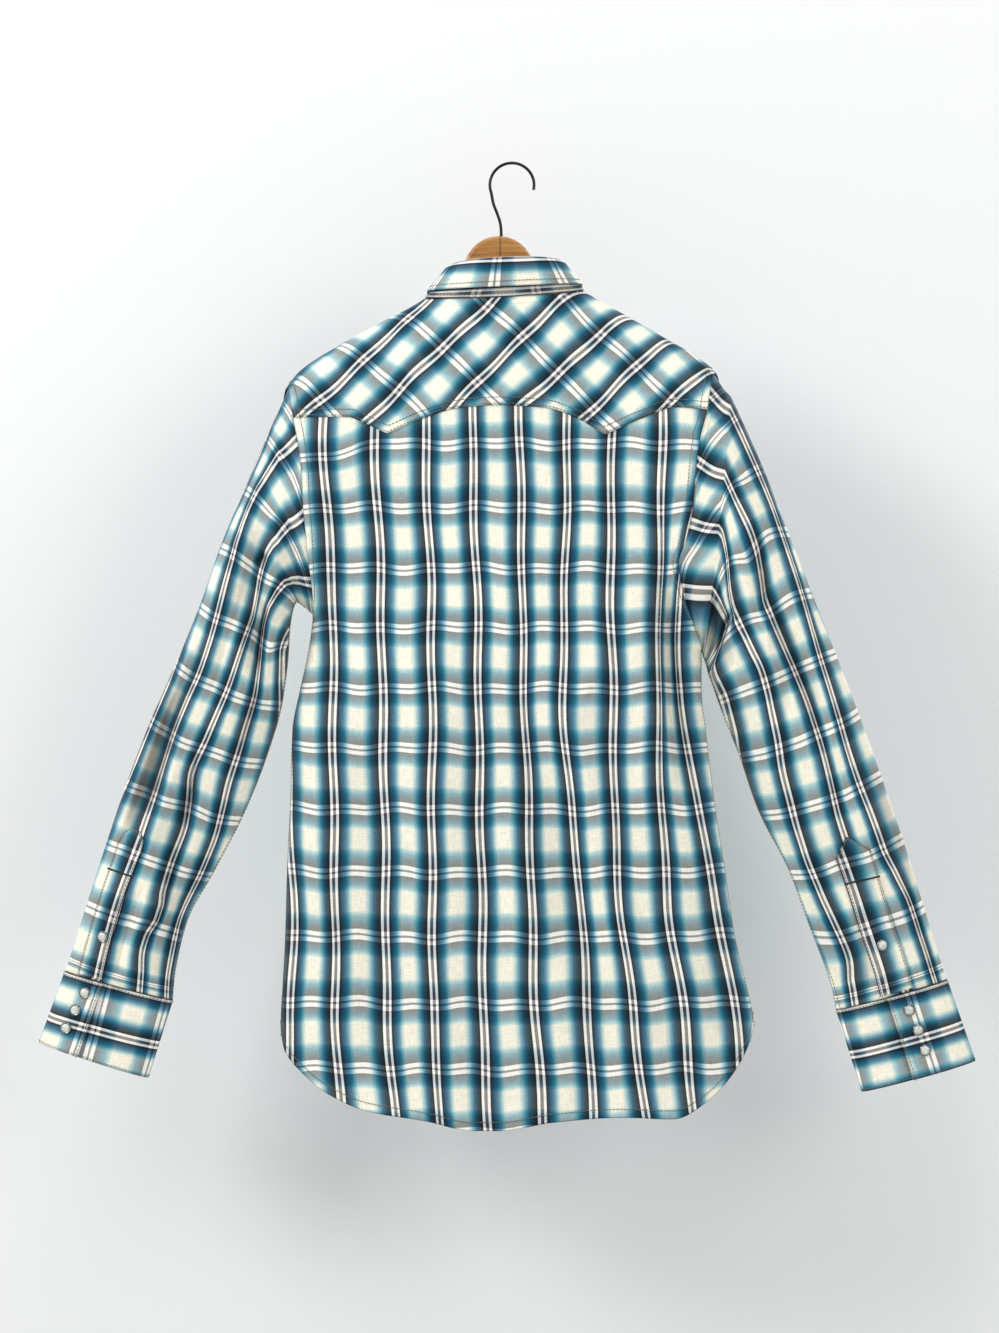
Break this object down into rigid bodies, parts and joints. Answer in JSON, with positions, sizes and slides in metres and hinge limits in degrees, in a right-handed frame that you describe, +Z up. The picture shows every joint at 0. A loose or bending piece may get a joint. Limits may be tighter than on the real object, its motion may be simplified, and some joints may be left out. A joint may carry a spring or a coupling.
{
  "type": "western snap shirt on a wooden hanger",
  "caption": "Long-sleeved plaid cotton western shirt with pearl snaps, pointed yoke and shirt-tail hem, hung on a wooden hanger.",
  "frame": {"origin": "inner top of the hanger's hook, where the rail or nail carries it", "axes": "+Z up, +X to the wearer's right, +Y towards the front of the shirt"},
  "size_m": [0.8708, 0.1277, 0.8958],
  "materials": {
    "plaid_cotton": "soft woven cotton, shadow plaid",
    "pearl_snap": "pearl cap in a bright metal ring",
    "hanger_wood": "clear varnish",
    "hook_wire": "dark wire"
  },
  "bodies": {
    "root": {"back": "plaid_cotton", "back_yoke": "plaid_cotton", "front_left": "plaid_cotton", "front_right": "plaid_cotton", "front_yoke_left": "plaid_cotton", "front_yoke_right": "plaid_cotton", "front_placket": "plaid_cotton", "collar_stand": "plaid_cotton", "collar_leaf": "plaid_cotton", "sleeve_left": "plaid_cotton", "sleeve_right": "plaid_cotton", "sleeve_placket_left": "plaid_cotton", "sleeve_placket_right": "plaid_cotton", "cuff_left": "plaid_cotton", "cuff_right": "plaid_cotton", "snap_cuff_left_1": "pearl_snap", "snap_cuff_left_2": "pearl_snap", "snap_cuff_left_3": "pearl_snap", "snap_cuff_right_1": "pearl_snap", "snap_cuff_right_2": "pearl_snap", "snap_cuff_right_3": "pearl_snap", "snap_sleeve_left": "pearl_snap", "snap_sleeve_right": "pearl_snap", "snap_collar": "pearl_snap", "snap_front_1": "pearl_snap", "snap_front_2": "pearl_snap", "snap_front_3": "pearl_snap", "snap_front_4": "pearl_snap", "snap_front_5": "pearl_snap", "snap_front_6": "pearl_snap", "snap_front_7": "pearl_snap", "hanger_wood": "hanger_wood", "hanger_hook": "hook_wire"}
  },
  "joints": []
}
